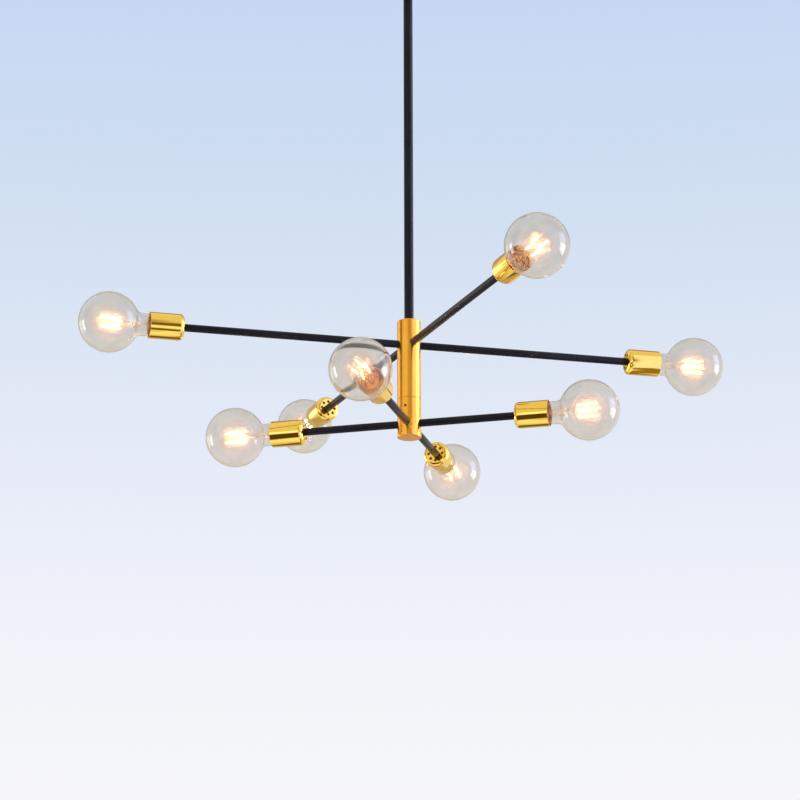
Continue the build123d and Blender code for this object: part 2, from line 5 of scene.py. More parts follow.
import bpy
from bpy.props import FloatProperty, FloatVectorProperty, IntProperty, PointerProperty
from mathutils import Matrix, Vector

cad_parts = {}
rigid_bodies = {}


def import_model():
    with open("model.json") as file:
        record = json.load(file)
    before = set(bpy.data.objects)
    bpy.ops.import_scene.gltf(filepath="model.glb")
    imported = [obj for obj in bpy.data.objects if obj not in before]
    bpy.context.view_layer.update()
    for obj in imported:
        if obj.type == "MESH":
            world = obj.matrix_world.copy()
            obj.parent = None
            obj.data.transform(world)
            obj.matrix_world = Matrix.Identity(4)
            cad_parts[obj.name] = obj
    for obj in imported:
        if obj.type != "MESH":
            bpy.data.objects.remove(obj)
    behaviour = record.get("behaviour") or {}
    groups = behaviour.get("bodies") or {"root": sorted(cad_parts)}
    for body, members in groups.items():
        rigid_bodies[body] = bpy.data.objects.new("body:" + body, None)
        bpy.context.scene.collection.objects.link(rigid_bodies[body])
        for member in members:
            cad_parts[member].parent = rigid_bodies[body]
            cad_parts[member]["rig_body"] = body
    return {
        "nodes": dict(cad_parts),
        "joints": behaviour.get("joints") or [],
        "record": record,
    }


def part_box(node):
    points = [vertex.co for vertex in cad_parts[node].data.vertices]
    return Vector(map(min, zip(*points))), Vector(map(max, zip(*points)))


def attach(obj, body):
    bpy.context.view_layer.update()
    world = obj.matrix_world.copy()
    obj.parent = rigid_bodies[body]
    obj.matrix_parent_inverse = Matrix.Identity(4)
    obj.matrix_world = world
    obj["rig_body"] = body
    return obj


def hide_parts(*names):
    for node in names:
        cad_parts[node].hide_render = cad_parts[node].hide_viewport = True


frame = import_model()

bl_info = {
    "name": "Two tier globe chandelier",
    "version": (1, 0, 0),
    "blender": (4, 5, 0),
    "location": "3D View > Sidebar > Chandelier",
    "description": "Models and finishes the bulbs, cups, hub and ceiling pieces of a two tier chandelier",
    "category": "Object",
}

# A lamp's pieces are modelled once on a bench, with the lamp pointing along +X, and copies are hung
# on the arms. Sizes are in metres.
MM = 0.001
WIDE_STEPS = 160
CUP_STEPS = 128
ROUND_STEPS = 96
FINE_STEPS = 48
DRILL_STEPS = 32
WIRE_STEPS = 16
MERGE_DISTANCE = 1e-7
SMOOTH_ANGLE = math.radians(32)
BENCH_PLACE = "bench"
TIERS = ("upper", "lower")
CAD_NODES = frame["nodes"]
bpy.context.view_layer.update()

Lamp = namedtuple("Lamp", "tier number azimuth level arm_root arm_tip cup_back globe_tip")


def lamp_places():
    """Where each lamp is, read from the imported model."""
    found = []
    for joint in frame["joints"]:
        if joint["type"] != "slide":
            continue
        tier, number = joint["child"].split("_bulb_")
        axis = Vector(joint["axis"]).normalized()

        def reach(piece):
            along = [v.co.dot(axis) for v in CAD_NODES[f"{tier}_{piece}_{number}"].data.vertices]
            return min(along), max(along)

        low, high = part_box(f"{tier}_cup_{number}")
        arm_root, arm_tip = reach("arm")
        azimuth = math.atan2(axis.y, axis.x)
        level = (low.z + high.z) / 2
        found.append(Lamp(tier, number, azimuth, level, arm_root, arm_tip, reach("cup")[0], reach("bulb_glass")[1]))
    return found


LAMPS = lamp_places()
SLOTS = {part["node"]: part["material_slot"] for part in frame["record"]["subparts"]}


def srgb(red, green, blue):
    """A display colour from 0 to 255 as Blender's linear colour."""

    def linear(value):
        share = value / 255
        return share / 12.92 if share <= 0.04045 else ((share + 0.055) / 1.055) ** 2.4

    return (linear(red), linear(green), linear(blue))


def length(name, description, millimetres):
    return FloatProperty(name=name, description=description, default=millimetres * MM, unit="LENGTH", precision=5)


def angle(name, description, radians):
    return FloatProperty(name=name, description=description, default=radians, subtype="ANGLE")


def count(name, description, default):
    return IntProperty(name=name, description=description, default=default, min=1)


def colour(name, description, default):
    return FloatVectorProperty(
        name=name, description=description, default=default, subtype="COLOR", size=3, min=0.0, max=1.0
    )


class BulbSizes(bpy.types.PropertyGroup):
    """Sizes of the globe bulbs, measured along the lamp from the centre of the globe."""

    globe_diameter: length("Globe diameter", "Outside of the glass globe", 95)
    neck_diameter: length("Neck diameter", "Outside of the straight glass neck", 36)
    neck_blend: length("Neck blend", "Radius where the globe runs into the neck", 11)
    neck_straight: length("Neck length", "Straight part of the neck", 6)
    shoulder: length("Shoulder", "Length of the shoulder between neck and cap", 10)
    tail_diameter: length("Tail diameter", "Outside of the glass tail inside the cap", 22.6)
    tail: length("Tail", "Length of the glass tail inside the cap", 6)
    glass_wall: length("Glass wall", "Thickness of the blown glass", 1)
    stem_face: length("Stem face", "From the globe's centre to the pressed end of the stem", 36)
    stem_diameter: length("Stem diameter", "Outside of the glass stem", 8)
    post_diameter: length("Post diameter", "The thin glass rod between the light bars", 3)
    bar_count: count("Light bars", "Glowing bars in one bulb", 4)
    bar_diameter: length("Bar diameter", "Outside of a bar's phosphor coat", 2.4)
    bar_foot: length("Bar foot", "From the globe's centre to the bars' feet, towards the cap", 18.5)
    bar_foot_radius: length("Foot radius", "From the lamp's axis to the bars' feet", 9)
    bar_tip: length("Bar tip", "From the globe's centre to the bars' tips, away from the cap", 13.5)
    bar_tip_radius: length("Tip radius", "From the lamp's axis to the bars' tips", 10.5)
    bar_twist: angle("Bar twist", "Turn from a bar's foot to its tip", math.radians(25))
    wire_diameter: length("Wire diameter", "The nickel wires that hold the bars", 0.9)


class CapSizes(bpy.types.PropertyGroup):
    """Sizes of the bulbs' screw caps."""

    root_radius: length("Root radius", "Cap radius between the threads", 12.2)
    crest_radius: length("Crest radius", "Cap radius on the threads", 13.1)
    pitch: length("Thread pitch", "Rise of one turn of the thread", 3.6)
    turns: count("Turns", "Whole turns of the thread", 3)
    shell: length("Shell length", "Length of the metal shell", 18)
    insulator: length("Insulator height", "Height of the glass end under the shell", 4.5)
    button_radius: length("Button radius", "Radius of the end contact", 5)
    button: length("Button height", "Height of the end contact", 2)


class CupSizes(bpy.types.PropertyGroup):
    """Sizes of the spun lamp cups."""

    diameter: length("Cup diameter", "Outside of a lamp cup", 41.5)
    length: length("Cup length", "From the back to the mouth", 54)
    wall: length("Cup wall", "Thickness of the spun metal", 1.2)
    back_edge: length("Back edge", "Radius of the rounded back edge", 7)
    arm_hole: length("Arm hole", "Hole for the end of the arm", 8.2)
    vent_count: count("Vents", "Vent holes in the back", 8)
    vent_diameter: length("Vent diameter", "Size of a vent hole", 4.8)
    vent_circle: length("Vent circle", "Circle that the vents lie on", 22.5)


class HolderSizes(bpy.types.PropertyGroup):
    """Sizes of the lampholders, measured from the back of the cup."""

    diameter: length("Holder diameter", "Outside of a lampholder", 35)
    bore: length("Holder bore", "Hole for the screw shell", 28.6)
    back: length("Holder back", "Where the holder sits on the cup's nut", 5.2)
    floor: length("Holder floor", "Bottom of the hole for the screw shell", 22.4)
    front: length("Holder front", "Front rim of the holder", 47)
    lead_hole: length("Lead hole", "Hole for the wires", 6)
    rim: length("Rim radius", "Rounding of the moulded edges", 0.8)


class FrameSizes(bpy.types.PropertyGroup):
    """Sizes of the canopy, down rod, hub and arms."""

    canopy_wall: length("Canopy wall", "Thickness of the spun canopy", 1.2)
    canopy_edge: length("Canopy edge", "Radius of the canopy's lower edge", 6)
    canopy_screw_depth: length("Canopy screw depth", "From the ceiling to the side screws", 10)
    canopy_screw_hole: length("Canopy screw hole", "Hole for a side screw", 4.4)
    rod_bore: length("Rod bore", "Hole through the down rod", 10.1)
    rod_edge: length("Rod edge", "Rounding of the rod's ends", 0.3)
    nipple_hole: length("Nipple hole", "Hole in the canopy and the hub for the threaded nipple", 10.2)
    hub_wall: length("Hub wall", "Thickness of the hub's sleeves", 2)
    hub_end_wall: length("Hub end wall", "Thickness of the hub's closed ends", 3)
    hub_edge: length("Hub edge", "Radius of the hub's outer edges", 1.5)
    hub_seam_edge: length("Seam edge", "Bevel of the sleeves at the seam", 0.25)
    swivel_screw_hole: length("Swivel screw hole", "Hole for a headless screw", 4.1)
    swivel_screw_count: count("Swivel screws", "Screws round the seam", 3)
    swivel_screw_azimuth: angle("Swivel screw angle", "Place of the first screw", math.radians(251))
    arm_diameter: length("Arm diameter", "Outside of an arm", 12)
    arm_thread: length("Arm thread", "Outside of an arm's threaded ends", 8)
    arm_bore: length("Arm bore", "Hole through an arm", 6)
    arm_seat: length("Arm seat", "From the hub's axis to the arm's shoulder", 14.35)
    arm_hole: length("Arm hole", "Hole in the hub for an arm", 12.2)
    arm_edge: length("Arm edge", "Rounding of the arm's shoulders", 0.3)


class Finishes(bpy.types.PropertyGroup):
    """Colours of the finishes."""

    polished_gold: colour("Polished gold", "Lamp cups", srgb(248, 206, 84))
    polished_gold_deep: colour("Polished gold, deep", "Darker parts of the cups' plating", srgb(244, 197, 70))
    satin_gold: colour("Satin gold", "Hub sleeves", srgb(252, 180, 44))
    satin_gold_deep: colour("Satin gold, deep", "Darker parts of the hub's plating", srgb(247, 170, 32))
    black_paint: colour("Black paint", "Arms, down rod and canopy", (0.0075, 0.007, 0.0095))
    glass: colour("Globe glass", "Faint smoky tint of the globes", (0.922, 0.868, 0.793))
    # The lampholders' colour is lighter and more orange than the moulding's own brown: painted warm light from the
    # light bars on the holders inside the cups
    lampholder: colour("Lampholder", "Moulded brown body of the lampholders", (0.78, 0.42, 0.02))
    glow: colour("Filament glow", "Light of the filament bars", (1.0, 0.44, 0.16))
    glow_strength: FloatProperty(name="Glow strength", description="Brightness of the bars", default=130.0, min=0.0)


class Studio(bpy.types.PropertyGroup):
    """The camera and the room that the chandelier is shown in."""

    lens: FloatProperty(name="Lens", description="Focal length in millimetres", default=117.55, unit="CAMERA")
    camera_place: FloatVectorProperty(
        name="Camera", description="Place of the camera", default=(0.0, -3.9329, -1.9949), subtype="TRANSLATION"
    )
    camera_yaw: angle("Yaw", "Turn of the camera", -0.0037)
    camera_pitch: angle("Pitch", "Upward tilt", 0.3046)
    camera_roll: angle("Roll", "Sideways tilt", -0.0021)
    floor_level: length("Floor level", "Height of the floor below the ceiling", -2700)
    sky_light: FloatProperty(name="Sky light", description="Even light from all round", default=0.75, min=0.0)


# Modelling on the bench


def deselect():
    if bpy.context.object and bpy.context.object.mode != "OBJECT":
        bpy.ops.object.mode_set(mode="OBJECT")
    bpy.ops.object.select_all(action="DESELECT")


def hold(*pieces):
    """Select these pieces alone, with the first one active."""
    deselect()
    for piece in pieces:
        piece.select_set(True)
    bpy.context.view_layer.objects.active = pieces[0]


def edit(piece, select):
    """Go into edit mode with the points selected that a test on their place picks out."""
    hold(piece)
    bpy.ops.object.mode_set(mode="EDIT")
    bpy.ops.mesh.select_mode(type="VERT")
    bpy.ops.mesh.select_all(action="DESELECT")
    bpy.ops.object.mode_set(mode="OBJECT")
    for vertex in piece.data.vertices:
        vertex.select = bool(select(vertex.co))
    bpy.ops.object.mode_set(mode="EDIT")


def leave_edit():
    bpy.ops.object.mode_set(mode="OBJECT")


def arc(centre, radius, start, end, steps):
    """Points of an outline along a round corner, between two angles in degrees."""
    angles = [math.radians(start + (end - start) * i / steps) for i in range(steps + 1)]
    return [(centre[0] + radius * math.cos(a), centre[1] + radius * math.sin(a)) for a in angles]


def drawn(name, outline):
    """A chain of edges drawn point by point from (along, radius) pairs."""
    deselect()
    bpy.ops.mesh.primitive_plane_add(size=MM, location=(outline[0][0], 0, outline[0][1]))
    piece = bpy.context.object
    piece.name = name
    bpy.ops.object.mode_set(mode="EDIT")
    bpy.ops.mesh.merge(type="CENTER")
    for start, end in zip(outline, outline[1:]):
        step = (end[0] - start[0], 0, end[1] - start[1])
        bpy.ops.mesh.extrude_region_move(TRANSFORM_OT_translate={"value": step})
    bpy.ops.mesh.select_all(action="SELECT")
    return piece


def set_down(piece):
    """Put the piece's place in its mesh, which leaves the piece itself at the origin."""
    hold(piece)
    bpy.ops.object.transform_apply(location=True, rotation=True, scale=True)


def clean(piece):
    """Merge doubled points and turn the faces outwards."""
    edit(piece, lambda place: True)
    bpy.ops.mesh.remove_doubles(threshold=MERGE_DISTANCE)
    bpy.ops.mesh.normals_make_consistent(inside=False)
    leave_edit()
    set_down(piece)


def turned(name, outline, steps=ROUND_STEPS):
    """An outline spun round the lamp's axis."""
    piece = drawn(name, outline)
    bpy.ops.mesh.spin(steps=steps, angle=math.tau, center=(0, 0, 0), axis=(1, 0, 0))
    leave_edit()
    clean(piece)
    return piece


def upright(name, outline, steps=ROUND_STEPS):
    """An outline of (height, radius) pairs spun round the down rod's axis."""
    piece = turned(name, outline, steps)
    piece.rotation_euler = (0, -math.pi / 2, 0)
    set_down(piece)
    return piece


def joined(*pieces):
    hold(*pieces)
    bpy.ops.object.join()
    return bpy.context.object


def smooth(piece):
    hold(piece)
    bpy.ops.object.shade_smooth_by_angle(angle=SMOOTH_ANGLE)


def cut(piece, cutter):
    """Take one shape out of another."""
    hold(piece)
    modifier = piece.modifiers.new("cut", "BOOLEAN")
    modifier.operation = "DIFFERENCE"
    modifier.solver = "EXACT"
    modifier.object = cutter
    bpy.ops.object.modifier_apply(modifier=modifier.name)
    bpy.data.objects.remove(cutter)


def drilled(piece, diameter, depth, spots):
    """Drill round holes, each given by the middle of the drill and its direction."""
    deselect()
    drills = []
    for place, direction in spots:
        turn = Vector(direction).to_track_quat("Z", "Y").to_euler()
        bpy.ops.mesh.primitive_cylinder_add(
            vertices=DRILL_STEPS, radius=diameter / 2, depth=depth, location=place, rotation=turn
        )
        drills.append(bpy.context.object)
    drill = joined(*drills)
    set_down(drill)
    cut(piece, drill)


def spokes(radius, level, azimuths):
    """Drill spots round the down rod's axis."""
    ways = [Vector((math.cos(a), math.sin(a), 0)) for a in azimuths]
    return [(radius * way + Vector((0, 0, level)), way) for way in ways]


def keep_bench_place(piece):
    """Store where each point was on the bench, so that a pattern follows the piece on its arm."""
    places = piece.data.attributes.new(BENCH_PLACE, "FLOAT_VECTOR", "POINT")
    places.data.foreach_set("vector", [c for vertex in piece.data.vertices for c in vertex.co])


def settle(piece, node):
    """Let a finished piece stand for its CAD node."""
    piece.data.name = piece.name
    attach(piece, CAD_NODES[node]["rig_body"])
    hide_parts(node)


def hang(bench_piece, word, node_name, along, tiers=TIERS):
    """Copy a finished bench piece to every lamp of the tiers, in place of that lamp's CAD node."""
    keep_bench_place(bench_piece)
    for lamp in LAMPS:
        if lamp.tier not in tiers:
            continue
        hold(bench_piece)
        bpy.ops.object.duplicate(linked=False)
        copy = bpy.context.object
        copy.name = f"{lamp.tier}_{word}_{lamp.number}"
        turn = Matrix.Rotation(lamp.azimuth, 4, "Z")
        copy.matrix_world = Matrix.Translation((0, 0, lamp.level)) @ turn @ Matrix.Translation((along(lamp), 0, 0))
        set_down(copy)
        settle(copy, node_name.format(tier=lamp.tier, number=lamp.number))
    bpy.data.objects.remove(bench_piece)


def globe_centre(lamp):
    return lamp.globe_tip - bpy.context.scene.bulb_sizes.globe_diameter / 2


def cup_back(lamp):
    return lamp.cup_back


def hub_axis(lamp):
    return 0


def cap_top(sizes):
    """Where the glass goes into its cap, along the lamp from the globe's centre."""
    return -(neck_start(sizes) + sizes.neck_straight + sizes.shoulder)


def neck_start(sizes):
    """How far behind the globe's centre the straight neck starts."""
    globe, neck = (width / 2 + sizes.neck_blend for width in (sizes.globe_diameter, sizes.neck_diameter))
    return math.sqrt(globe**2 - neck**2)


# Finishes

# The part of a noise pattern's range that numbers and colours follow
PATTERN_RANGE = (0.3, 0.7)
BLEND_RANGE = (0.35, 0.65)
# How a pattern is stretched: into lines round the lamp or the rod, or evenly
AROUND_LAMP = (900, 20, 20)
AROUND_ROD = (20, 20, 900)
EVEN = (1, 1, 1)
GLASS_IOR = 1.45
# Reflections in the glass are a little warm
GLASS_SHEEN = (1.0, 0.95, 0.86, 1)
SMOKE_DENSITY = 160.0
HAZE_ROUGHNESS = 0.6
# How far the glass turns away before its haze starts to thin out, and where it ends
HAZE_RANGE = (0.08, 0.27)


def add(tree, kind, inputs=None, **settings):
    """A node with its settings, and with its inputs set or linked."""
    node = tree.nodes.new(kind)
    for name, value in settings.items():
        setattr(node, name, value)
    for name, value in (inputs or {}).items():
        if isinstance(value, bpy.types.NodeSocket):
            tree.links.new(value, node.inputs[name])
        else:
            node.inputs[name].default_value = value
    return node


def new_finish(name, **sockets):
    """A material with a Principled shader, whose plain numbers are set on its own sockets."""
    material = bpy.data.materials.new(name)
    material.use_nodes = True
    shader = material.node_tree.nodes["Principled BSDF"]
    for socket, value in sockets.items():
        shader.inputs[socket.replace("_", " ").title().replace("Ior", "IOR")].default_value = value
    return material, material.node_tree, shader


def place_of(tree, on_bench, scale):
    """Coordinates for a pattern: the piece's place on the bench, or its place in the whole object."""
    if on_bench:
        source = add(tree, "ShaderNodeAttribute", attribute_name=BENCH_PLACE).outputs["Vector"]
    else:
        source = add(tree, "ShaderNodeTexCoord").outputs["Object"]
    return add(tree, "ShaderNodeMapping", {"Vector": source, "Scale": scale}).outputs["Vector"]


def reckon(tree, operation, *values):
    """The result of a sum on numbers or sockets."""
    node = add(tree, "ShaderNodeMath", operation=operation)
    for socket, value in zip(node.inputs, values):
        if isinstance(value, bpy.types.NodeSocket):
            tree.links.new(value, socket)
        else:
            socket.default_value = value
    return node.outputs[0]


def noise(tree, vector, scale, detail=2.0):
    return add(tree, "ShaderNodeTexNoise", {"Vector": vector, "Scale": scale, "Detail": detail}).outputs["Fac"]


def mapped(tree, value, from_min, from_max, to_min, to_max, interpolation="LINEAR"):
    """A number carried over from one range to another."""
    inputs = {"Value": value, "From Min": from_min, "From Max": from_max, "To Min": to_min, "To Max": to_max}
    return add(tree, "ShaderNodeMapRange", inputs, interpolation_type=interpolation).outputs["Result"]


def between(tree, share, low, high):
    """A number that follows a pattern from low to high."""
    return mapped(tree, share, *PATTERN_RANGE, low, high)


def blended(tree, share, *colours):
    """A colour that follows a pattern from one colour to another."""
    ramp = add(tree, "ShaderNodeValToRGB", {"Fac": share})
    for stop, position, shade in zip(ramp.color_ramp.elements, BLEND_RANGE, colours):
        stop.position = position
        stop.color = (*shade, 1)
    return ramp.outputs["Color"]


def over(tree, share, back, front):
    """One shader laid over another."""
    mix = add(tree, "ShaderNodeMixShader", {"Fac": share})
    tree.links.new(back, mix.inputs[1])
    tree.links.new(front, mix.inputs[2])
    return mix.outputs["Shader"]


def embossed(tree, shader, height, strength, depth):
    """Let a pattern stand out from the surface."""
    relief = add(tree, "ShaderNodeBump", {"Height": height, "Strength": strength, "Distance": depth})
    tree.links.new(relief.outputs["Normal"], shader.inputs["Normal"])


def plated(name, light, deep, roughness, grain, on_bench, relief, lacquer=0.0, lacquer_roughness=0.06):
    """Metal plating with turning lines along the grain's stretch and slow changes of tone."""
    material, tree, shader = new_finish(
        name, metallic=1.0, coat_weight=lacquer, coat_roughness=lacquer_roughness, coat_ior=1.7
    )
    lines = noise(tree, place_of(tree, on_bench, grain), scale=1.0)
    clouds = noise(tree, place_of(tree, on_bench, EVEN), scale=28.0)
    tree.links.new(blended(tree, clouds, light, deep), shader.inputs["Base Color"])
    tree.links.new(between(tree, lines, *roughness), shader.inputs["Roughness"])
    embossed(tree, shader, lines, strength=relief, depth=0.05 * MM)
    return material


def painted(name, paint, roughness):
    """Sprayed satin paint with a fine orange peel."""
    material, tree, shader = new_finish(name, specular_ior_level=0.12)
    place = place_of(tree, False, EVEN)
    peel = noise(tree, place, scale=420.0)
    clouds = noise(tree, place, scale=14.0)
    faded = tuple(1.5 * c for c in paint)
    tree.links.new(blended(tree, clouds, paint, faded), shader.inputs["Base Color"])
    tree.links.new(between(tree, peel, *roughness), shader.inputs["Roughness"])
    embossed(tree, shader, peel, strength=0.06, depth=0.1 * MM)
    return material


def hazy(tree, surface, tint, haze):
    """Glass that scatters a share of the light that passes straight through it, as a halo."""
    turned_away = add(tree, "ShaderNodeLayerWeight", {"Blend": 0.5}).outputs["Facing"]
    facing = mapped(tree, turned_away, *HAZE_RANGE, haze, 0.0)
    leaving = add(tree, "ShaderNodeNewGeometry").outputs["Backfacing"]
    share = reckon(tree, "MULTIPLY", facing, reckon(tree, "SUBTRACT", 1.0, leaving))
    inputs = {"Color": (*tint, 1), "Roughness": HAZE_ROUGHNESS, "IOR": GLASS_IOR}
    return over(tree, share, surface, add(tree, "ShaderNodeBsdfRefraction", inputs).outputs["BSDF"])


def blown_glass(name, tint, clear, roughness, smoke=None, haze=0.0):
    """Thin glass that lamps shine through without a hard shadow, with smoke in the glass itself."""
    material, tree, shader = new_finish(
        name, transmission_weight=clear, ior=GLASS_IOR, specular_tint=GLASS_SHEEN
    )
    waves = noise(tree, place_of(tree, True, EVEN), scale=22.0, detail=0.0)
    paler = tuple(min(1.0, 1.03 * c) for c in tint)
    tree.links.new(blended(tree, waves, tint, paler), shader.inputs["Base Color"])
    tree.links.new(between(tree, waves, *roughness), shader.inputs["Roughness"])
    surface = shader.outputs["BSDF"]
    if haze:
        surface = hazy(tree, surface, tint, haze)
    passing = add(tree, "ShaderNodeBsdfTransparent", {"Color": (*tint, 1)})
    path = add(tree, "ShaderNodeLightPath")
    surface = over(tree, path.outputs["Is Shadow Ray"], surface, passing.outputs["BSDF"])
    output = tree.nodes["Material Output"]
    tree.links.new(surface, output.inputs["Surface"])
    if smoke:
        grey = add(tree, "ShaderNodeVolumeAbsorption", {"Color": (*smoke, 1), "Density": SMOKE_DENSITY})
        tree.links.new(grey.outputs["Volume"], output.inputs["Volume"])
    return material


def glowing(name, glow, strength):
    """Phosphor on a row of light chips, brighter over each chip."""
    material, tree, shader = new_finish(name, emission_strength=strength, roughness=0.5)
    chips = noise(tree, place_of(tree, True, (1, 0.2, 0.2)), scale=700.0, detail=0.0)
    tree.links.new(blended(tree, chips, (0.9, 0.6, 0.2), (1.0, 0.75, 0.35)), shader.inputs["Base Color"])
    dimmer = tuple(0.86 * c for c in glow)
    tree.links.new(blended(tree, chips, dimmer, glow), shader.inputs["Emission Color"])
    return material


def moulded(name, light, deep, roughness, scale=60.0):
    """A moulded or glazed body with a faint mottle."""
    material, tree, shader = new_finish(name, specular_ior_level=0.5)
    place = place_of(tree, False, EVEN)
    mottle = noise(tree, place, scale)
    tree.links.new(blended(tree, mottle, light, deep), shader.inputs["Base Color"])
    tree.links.new(between(tree, noise(tree, place, 5 * scale), *roughness), shader.inputs["Roughness"])
    return material


def recipes():
    """How each finish is made: its maker, and what the maker is told after the name."""
    colours = bpy.context.scene.finishes
    polished = (plated, colours.polished_gold[:], colours.polished_gold_deep[:])
    satin = (plated, colours.satin_gold[:], colours.satin_gold_deep[:])
    brown = colours.lampholder[:]
    grains = (400, 400, 400)
    return {
        "cup gold": (*polished, (0.05, 0.09), AROUND_LAMP, True, 0.006, 0.4),
        "cup inside": (*polished, (0.45, 0.6), AROUND_LAMP, True, 0.03),
        "hub gold": (*satin, (0.22, 0.27), AROUND_ROD, False, 0.01, 0.5, 0.16),
        "black paint": (painted, colours.black_paint[:], (0.22, 0.3)),
        "globe glass": (blown_glass, colours.glass[:], 1.0, (0.03, 0.06), (0.75, 0.75, 0.75), 0.25),
        "stem glass": (blown_glass, (0.97, 0.95, 0.92), 0.93, (0.06, 0.12)),
        "glowing phosphor": (glowing, colours.glow[:], colours.glow_strength),
        "nickel": (plated, (0.66, 0.64, 0.6), (0.58, 0.56, 0.52), (0.18, 0.3), AROUND_LAMP, True, 0.03),
        "black glass": (moulded, (0.008, 0.008, 0.01), (0.014, 0.013, 0.014), (0.08, 0.16)),
        "zinc": (plated, (0.6, 0.61, 0.62), (0.48, 0.5, 0.53), (0.28, 0.45), grains, False, 0.08),
        "blackened steel": (plated, (0.03, 0.03, 0.034), (0.018, 0.018, 0.02), (0.3, 0.45), grains, False, 0.05),
        "aluminium": (plated, (0.7, 0.7, 0.71), (0.62, 0.62, 0.64), (0.3, 0.42), AROUND_ROD, False, 0.06),
        "brass": (plated, (0.72, 0.5, 0.2), (0.6, 0.4, 0.15), (0.2, 0.36), (500, 500, 500), False, 0.05),
        # the lampholders' own brown with painted warm light from the light bars laid into it
        "lampholder": (moulded, brown, tuple(0.7 * c for c in brown), (0.25, 0.4)),
        # the cement's bright orange is partly its own colour and partly painted warm light from the light bars
        # inside the cap
        "cement": (moulded, (0.95, 0.58, 0.06), (0.85, 0.5, 0.05), (0.5, 0.7), 240.0),
        "lead sheath": (moulded, (0.72, 0.71, 0.68), (0.62, 0.61, 0.58), (0.45, 0.6), 140.0),
    }


def finish(name):
    """One of the chandelier's finishes, made when it is first asked for."""
    if name not in bpy.data.materials:
        maker, *told = recipes()[name]
        maker(name, *told)
    return bpy.data.materials[name]


def give(piece, name):
    piece.data.materials.clear()
    piece.data.materials.append(finish(name))


def dress(piece, name):
    """Give a piece its finish and smooth its round faces."""
    give(piece, name)
    smooth(piece)


class CHANDELIER_OT_globes(bpy.types.Operator):
    """Blow the glass globes with their necks and hang one on every lamp"""

    bl_idname = "chandelier.globes"
    bl_label = "Glass globes"

    def outline(self, inset):
        """The glass from the tip of the globe to its tail, moved inwards by an inset."""
        s = bpy.context.scene.bulb_sizes
        globe = s.globe_diameter / 2 - inset
        neck = s.neck_diameter / 2 - inset
        tail = s.tail_diameter / 2 - inset
        blend = s.neck_blend + inset
        lean = math.degrees(math.asin((neck + blend) / (globe + blend)))
        straight = neck_start(s)
        drop = neck - tail
        bend = (s.shoulder**2 + drop**2) / (2 * drop)
        bend_end = math.degrees(math.acos((bend - drop) / bend))
        points = arc((0, 0), globe, 0, 180 - lean, 56)
        points += arc((-straight, neck + blend), blend, -lean, -90, 12)[1:]
        points += arc((-straight - s.neck_straight, neck - bend), bend, 90, 90 + bend_end, 10)
        points.append((points[-1][0] - s.tail, tail))
        return points

    def execute(self, context):
        wall = context.scene.bulb_sizes.glass_wall
        outside, inside = self.outline(0), self.outline(wall)
        globe = turned("globe", outside + inside[::-1])
        dress(globe, "globe glass")
        hang(globe, "globe", "{tier}_bulb_glass_{number}", globe_centre)
        return {"FINISHED"}


class CHANDELIER_OT_stems(bpy.types.Operator):
    """Press the glass stems that carry the light bars"""

    bl_idname = "chandelier.stems"
    bl_label = "Glass stems"

    # Outline of the pressed end: millimetres from its face, and radius as a share of the tube's
    pressed_end = ((-12, 1), (-10, 1.12), (-2, 1.12), (-0.5, 0.95), (0, 0.6))
    pressed_flat = (1, 0.55, 1.3)

    def execute(self, context):
        s = context.scene.bulb_sizes
        fit, flare_length, crown = 0.1 * MM, 9 * MM, 2 * MM
        tube, post = s.stem_diameter / 2, s.post_diameter / 2
        flare = s.tail_diameter / 2 - s.glass_wall - fit
        tail_end = cap_top(s) - s.tail
        press = -s.stem_face
        post_end = s.bar_tip + crown
        outline = [(tail_end, 0), (tail_end, flare)]
        outline += arc((tail_end + flare_length, flare), flare - tube, 180, 270, 10)[1:]
        outline += [(press + along * MM, share * tube) for along, share in self.pressed_end]
        outline += [(press + 1.5 * MM, post), (post_end - crown, post)]
        outline += arc((post_end, 0), 1.35 * post, 130, 0, 8)
        stem = turned("stem", outline, FINE_STEPS)
        edit(stem, lambda place: press - 11 * MM < place.x < press + 1 * MM)
        bpy.ops.transform.resize(value=self.pressed_flat, center_override=(press, 0, 0))
        leave_edit()
        dress(stem, "stem glass")
        hang(stem, "stem", "{tier}_bulb_glass_{number}", globe_centre)
        return {"FINISHED"}


